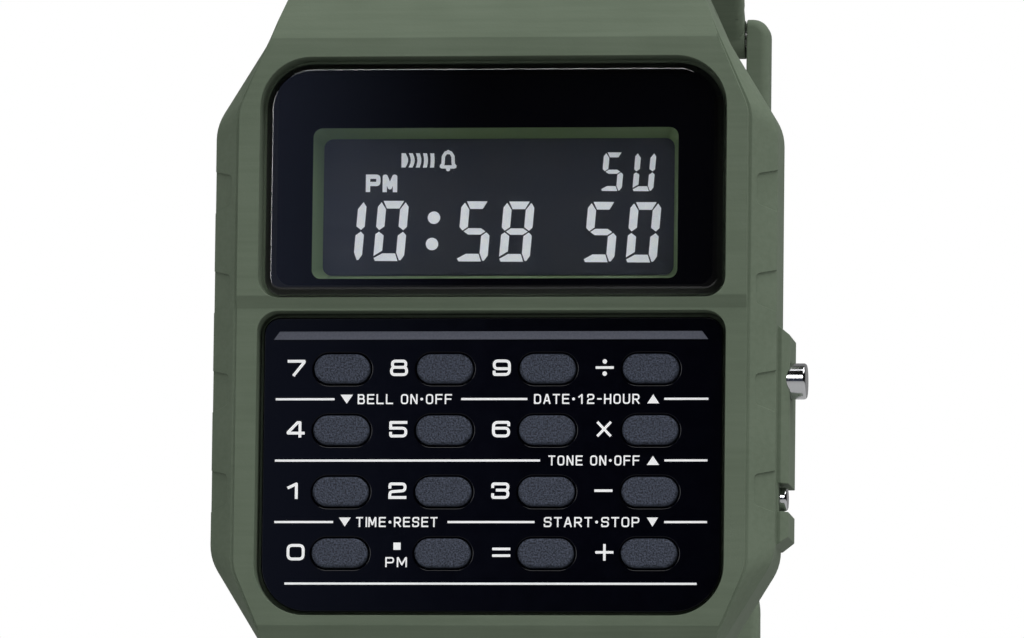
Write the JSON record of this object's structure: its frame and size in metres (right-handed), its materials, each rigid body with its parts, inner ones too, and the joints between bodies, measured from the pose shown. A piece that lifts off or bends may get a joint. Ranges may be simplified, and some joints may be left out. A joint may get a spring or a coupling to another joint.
{
  "type": "calculator watch",
  "caption": "Digital wristwatch with a calculator keypad below its display, a moulded resin case and an open resin strap with a pin buckle.",
  "frame": {"origin": "centre of the case back's outer face", "axes": "+Y out of the case back towards the wrist, so the dial faces -Y; +Z towards 12 o'clock; +X towards 3 o'clock, where the side buttons are"},
  "size_m": [0.0354, 0.0812, 0.0853],
  "materials": {
    "green_resin": "fine grained moulded resin",
    "green_frame": "moulded plastic",
    "case_back_steel": "brushed",
    "clear_glass": "polished",
    "black_print": "printed film",
    "display_glass": "dark display",
    "black_cover": "smooth",
    "grey_print": "printed",
    "key_plastic": "stippled",
    "bright_steel": "polished",
    "spring_steel": "bright wire and strip",
    "bar_steel": "polished",
    "seal_rubber": "moulded",
    "key_silicone": "moulded",
    "frame_plastic": "moulded",
    "board": "solder mask",
    "chip_epoxy": "moulded",
    "cell_steel": "nickel plated",
    "disc_brass": "satin"
  },
  "bodies": {
    "watch_case": {"case_body": "green_resin", "lcd_frame": "green_frame", "case_back": "case_back_steel", "case_back_screws": "case_back_steel", "crystal": "clear_glass", "display_mask": "black_print", "lcd_panel": "display_glass", "keypad_panel": "black_cover", "panel_stripe": "grey_print", "mode_spring": "spring_steel", "adjust_spring": "spring_steel", "bar_spring_top": "spring_steel", "bar_spring_bottom": "spring_steel", "buzzer_spring": "spring_steel", "switch_contacts": "spring_steel", "battery_clamp": "spring_steel", "spring_bar_top": "bar_steel", "spring_bar_bottom": "bar_steel", "back_gasket": "seal_rubber", "pusher_seals": "seal_rubber", "crystal_seal": "seal_rubber", "lcd_connectors": "seal_rubber", "key_sheet": "key_silicone", "module_frame": "frame_plastic", "circuit_board": "board", "clock_chip": "chip_epoxy", "battery": "cell_steel", "quartz_can": "cell_steel", "buzzer_disc": "disc_brass", "trimmer": "disc_brass"},
    "key_7": {"key_7": "key_plastic"},
    "key_8": {"key_8": "key_plastic"},
    "key_9": {"key_9": "key_plastic"},
    "key_divide": {"key_divide": "key_plastic"},
    "key_4": {"key_4": "key_plastic"},
    "key_5": {"key_5": "key_plastic"},
    "key_6": {"key_6": "key_plastic"},
    "key_multiply": {"key_multiply": "key_plastic"},
    "key_1": {"key_1": "key_plastic"},
    "key_2": {"key_2": "key_plastic"},
    "key_3": {"key_3": "key_plastic"},
    "key_minus": {"key_minus": "key_plastic"},
    "key_0": {"key_0": "key_plastic"},
    "key_point": {"key_point": "key_plastic"},
    "key_equals": {"key_equals": "key_plastic"},
    "key_plus": {"key_plus": "key_plastic"},
    "mode_button": {"mode_pusher": "bright_steel", "mode_clip": "spring_steel"},
    "adjust_button": {"adjust_pusher": "bright_steel", "adjust_clip": "spring_steel"},
    "tip_top_left_body": {"tip_top_left": "bar_steel"},
    "tip_top_right_body": {"tip_top_right": "bar_steel"},
    "tip_bottom_left_body": {"tip_bottom_left": "bar_steel"},
    "tip_bottom_right_body": {"tip_bottom_right": "bar_steel"},
    "short_half": {"strap_short": "green_resin", "buckle_pin": "bar_steel"},
    "long_half": {"strap_long": "green_resin"},
    "buckle": {"buckle_frame": "green_resin"},
    "prong": {"buckle_tongue": "bar_steel"},
    "keeper_loop": {"keeper": "green_resin"}
  },
  "joints": [
    {"name": "press_key_7", "type": "slide", "parent": "watch_case", "child": "key_7", "axis": [0, 1, 0], "range_m": [0, 0.0003], "stiffness_N_per_m": 300, "springref_m": -0.001},
    {"name": "press_key_8", "type": "slide", "parent": "watch_case", "child": "key_8", "axis": [0, 1, 0], "range_m": [0, 0.0003], "stiffness_N_per_m": 300, "springref_m": -0.001},
    {"name": "press_key_9", "type": "slide", "parent": "watch_case", "child": "key_9", "axis": [0, 1, 0], "range_m": [0, 0.0003], "stiffness_N_per_m": 300, "springref_m": -0.001},
    {"name": "press_key_divide", "type": "slide", "parent": "watch_case", "child": "key_divide", "axis": [0, 1, 0], "range_m": [0, 0.0003], "stiffness_N_per_m": 300, "springref_m": -0.001},
    {"name": "press_key_4", "type": "slide", "parent": "watch_case", "child": "key_4", "axis": [0, 1, 0], "range_m": [0, 0.0003], "stiffness_N_per_m": 300, "springref_m": -0.001},
    {"name": "press_key_5", "type": "slide", "parent": "watch_case", "child": "key_5", "axis": [0, 1, 0], "range_m": [0, 0.0003], "stiffness_N_per_m": 300, "springref_m": -0.001},
    {"name": "press_key_6", "type": "slide", "parent": "watch_case", "child": "key_6", "axis": [0, 1, 0], "range_m": [0, 0.0003], "stiffness_N_per_m": 300, "springref_m": -0.001},
    {"name": "press_key_multiply", "type": "slide", "parent": "watch_case", "child": "key_multiply", "axis": [0, 1, 0], "range_m": [0, 0.0003], "stiffness_N_per_m": 300, "springref_m": -0.001},
    {"name": "press_key_1", "type": "slide", "parent": "watch_case", "child": "key_1", "axis": [0, 1, 0], "range_m": [0, 0.0003], "stiffness_N_per_m": 300, "springref_m": -0.001},
    {"name": "press_key_2", "type": "slide", "parent": "watch_case", "child": "key_2", "axis": [0, 1, 0], "range_m": [0, 0.0003], "stiffness_N_per_m": 300, "springref_m": -0.001},
    {"name": "press_key_3", "type": "slide", "parent": "watch_case", "child": "key_3", "axis": [0, 1, 0], "range_m": [0, 0.0003], "stiffness_N_per_m": 300, "springref_m": -0.001},
    {"name": "press_key_minus", "type": "slide", "parent": "watch_case", "child": "key_minus", "axis": [0, 1, 0], "range_m": [0, 0.0003], "stiffness_N_per_m": 300, "springref_m": -0.001},
    {"name": "press_key_0", "type": "slide", "parent": "watch_case", "child": "key_0", "axis": [0, 1, 0], "range_m": [0, 0.0003], "stiffness_N_per_m": 300, "springref_m": -0.001},
    {"name": "press_key_point", "type": "slide", "parent": "watch_case", "child": "key_point", "axis": [0, 1, 0], "range_m": [0, 0.0003], "stiffness_N_per_m": 300, "springref_m": -0.001},
    {"name": "press_key_equals", "type": "slide", "parent": "watch_case", "child": "key_equals", "axis": [0, 1, 0], "range_m": [0, 0.0003], "stiffness_N_per_m": 300, "springref_m": -0.001},
    {"name": "press_key_plus", "type": "slide", "parent": "watch_case", "child": "key_plus", "axis": [0, 1, 0], "range_m": [0, 0.0003], "stiffness_N_per_m": 300, "springref_m": -0.001},
    {"name": "press_mode_button", "type": "slide", "parent": "watch_case", "child": "mode_button", "axis": [-1, 0, 0], "range_m": [0, 0.0008], "stiffness_N_per_m": 1500, "springref_m": -0.001, "deforming": ["mode_spring"]},
    {"name": "press_adjust_button", "type": "slide", "parent": "watch_case", "child": "adjust_button", "axis": [-1, 0, 0], "range_m": [0, 0.0005], "stiffness_N_per_m": 1500, "springref_m": -0.001, "deforming": ["adjust_spring"]},
    {"name": "press_tip_top_left", "type": "slide", "parent": "watch_case", "child": "tip_top_left_body", "axis": [1, 0, 0], "range_m": [0, 0.0016], "stiffness_N_per_m": 800, "springref_m": -0.001, "deforming": ["bar_spring_top"]},
    {"name": "press_tip_top_right", "type": "slide", "parent": "watch_case", "child": "tip_top_right_body", "axis": [-1, 0, 0], "range_m": [0, 0.0016], "stiffness_N_per_m": 800, "springref_m": -0.001},
    {"name": "press_tip_bottom_left", "type": "slide", "parent": "watch_case", "child": "tip_bottom_left_body", "axis": [1, 0, 0], "range_m": [0, 0.0016], "stiffness_N_per_m": 800, "springref_m": -0.001, "deforming": ["bar_spring_bottom"]},
    {"name": "press_tip_bottom_right", "type": "slide", "parent": "watch_case", "child": "tip_bottom_right_body", "axis": [-1, 0, 0], "range_m": [0, 0.0016], "stiffness_N_per_m": 800, "springref_m": -0.001},
    {"name": "short_half_swing", "type": "hinge", "parent": "watch_case", "child": "short_half", "pos_m": [0, -0.0036, 0.01985], "axis": [1, 0, 0], "range_deg": [-45, 30]},
    {"name": "long_half_swing", "type": "hinge", "parent": "watch_case", "child": "long_half", "pos_m": [0, -0.0036, -0.01985], "axis": [-1, 0, 0], "range_deg": [-9, 24]},
    {"name": "buckle_swing", "type": "hinge", "parent": "short_half", "child": "buckle", "pos_m": [0, 0.05881, 0.02757], "axis": [1, 0, 0], "range_deg": [-60, 90]},
    {"name": "prong_swing", "type": "hinge", "parent": "buckle", "child": "prong", "pos_m": [0, 0.05881, 0.02757], "axis": [1, 0, 0], "range_deg": [0, 100]},
    {"name": "keeper_slide", "type": "slide", "parent": "short_half", "child": "keeper_loop", "axis": [0, 0.8805, -0.474], "range_m": [-0.0015, 0.0015]}
  ]
}
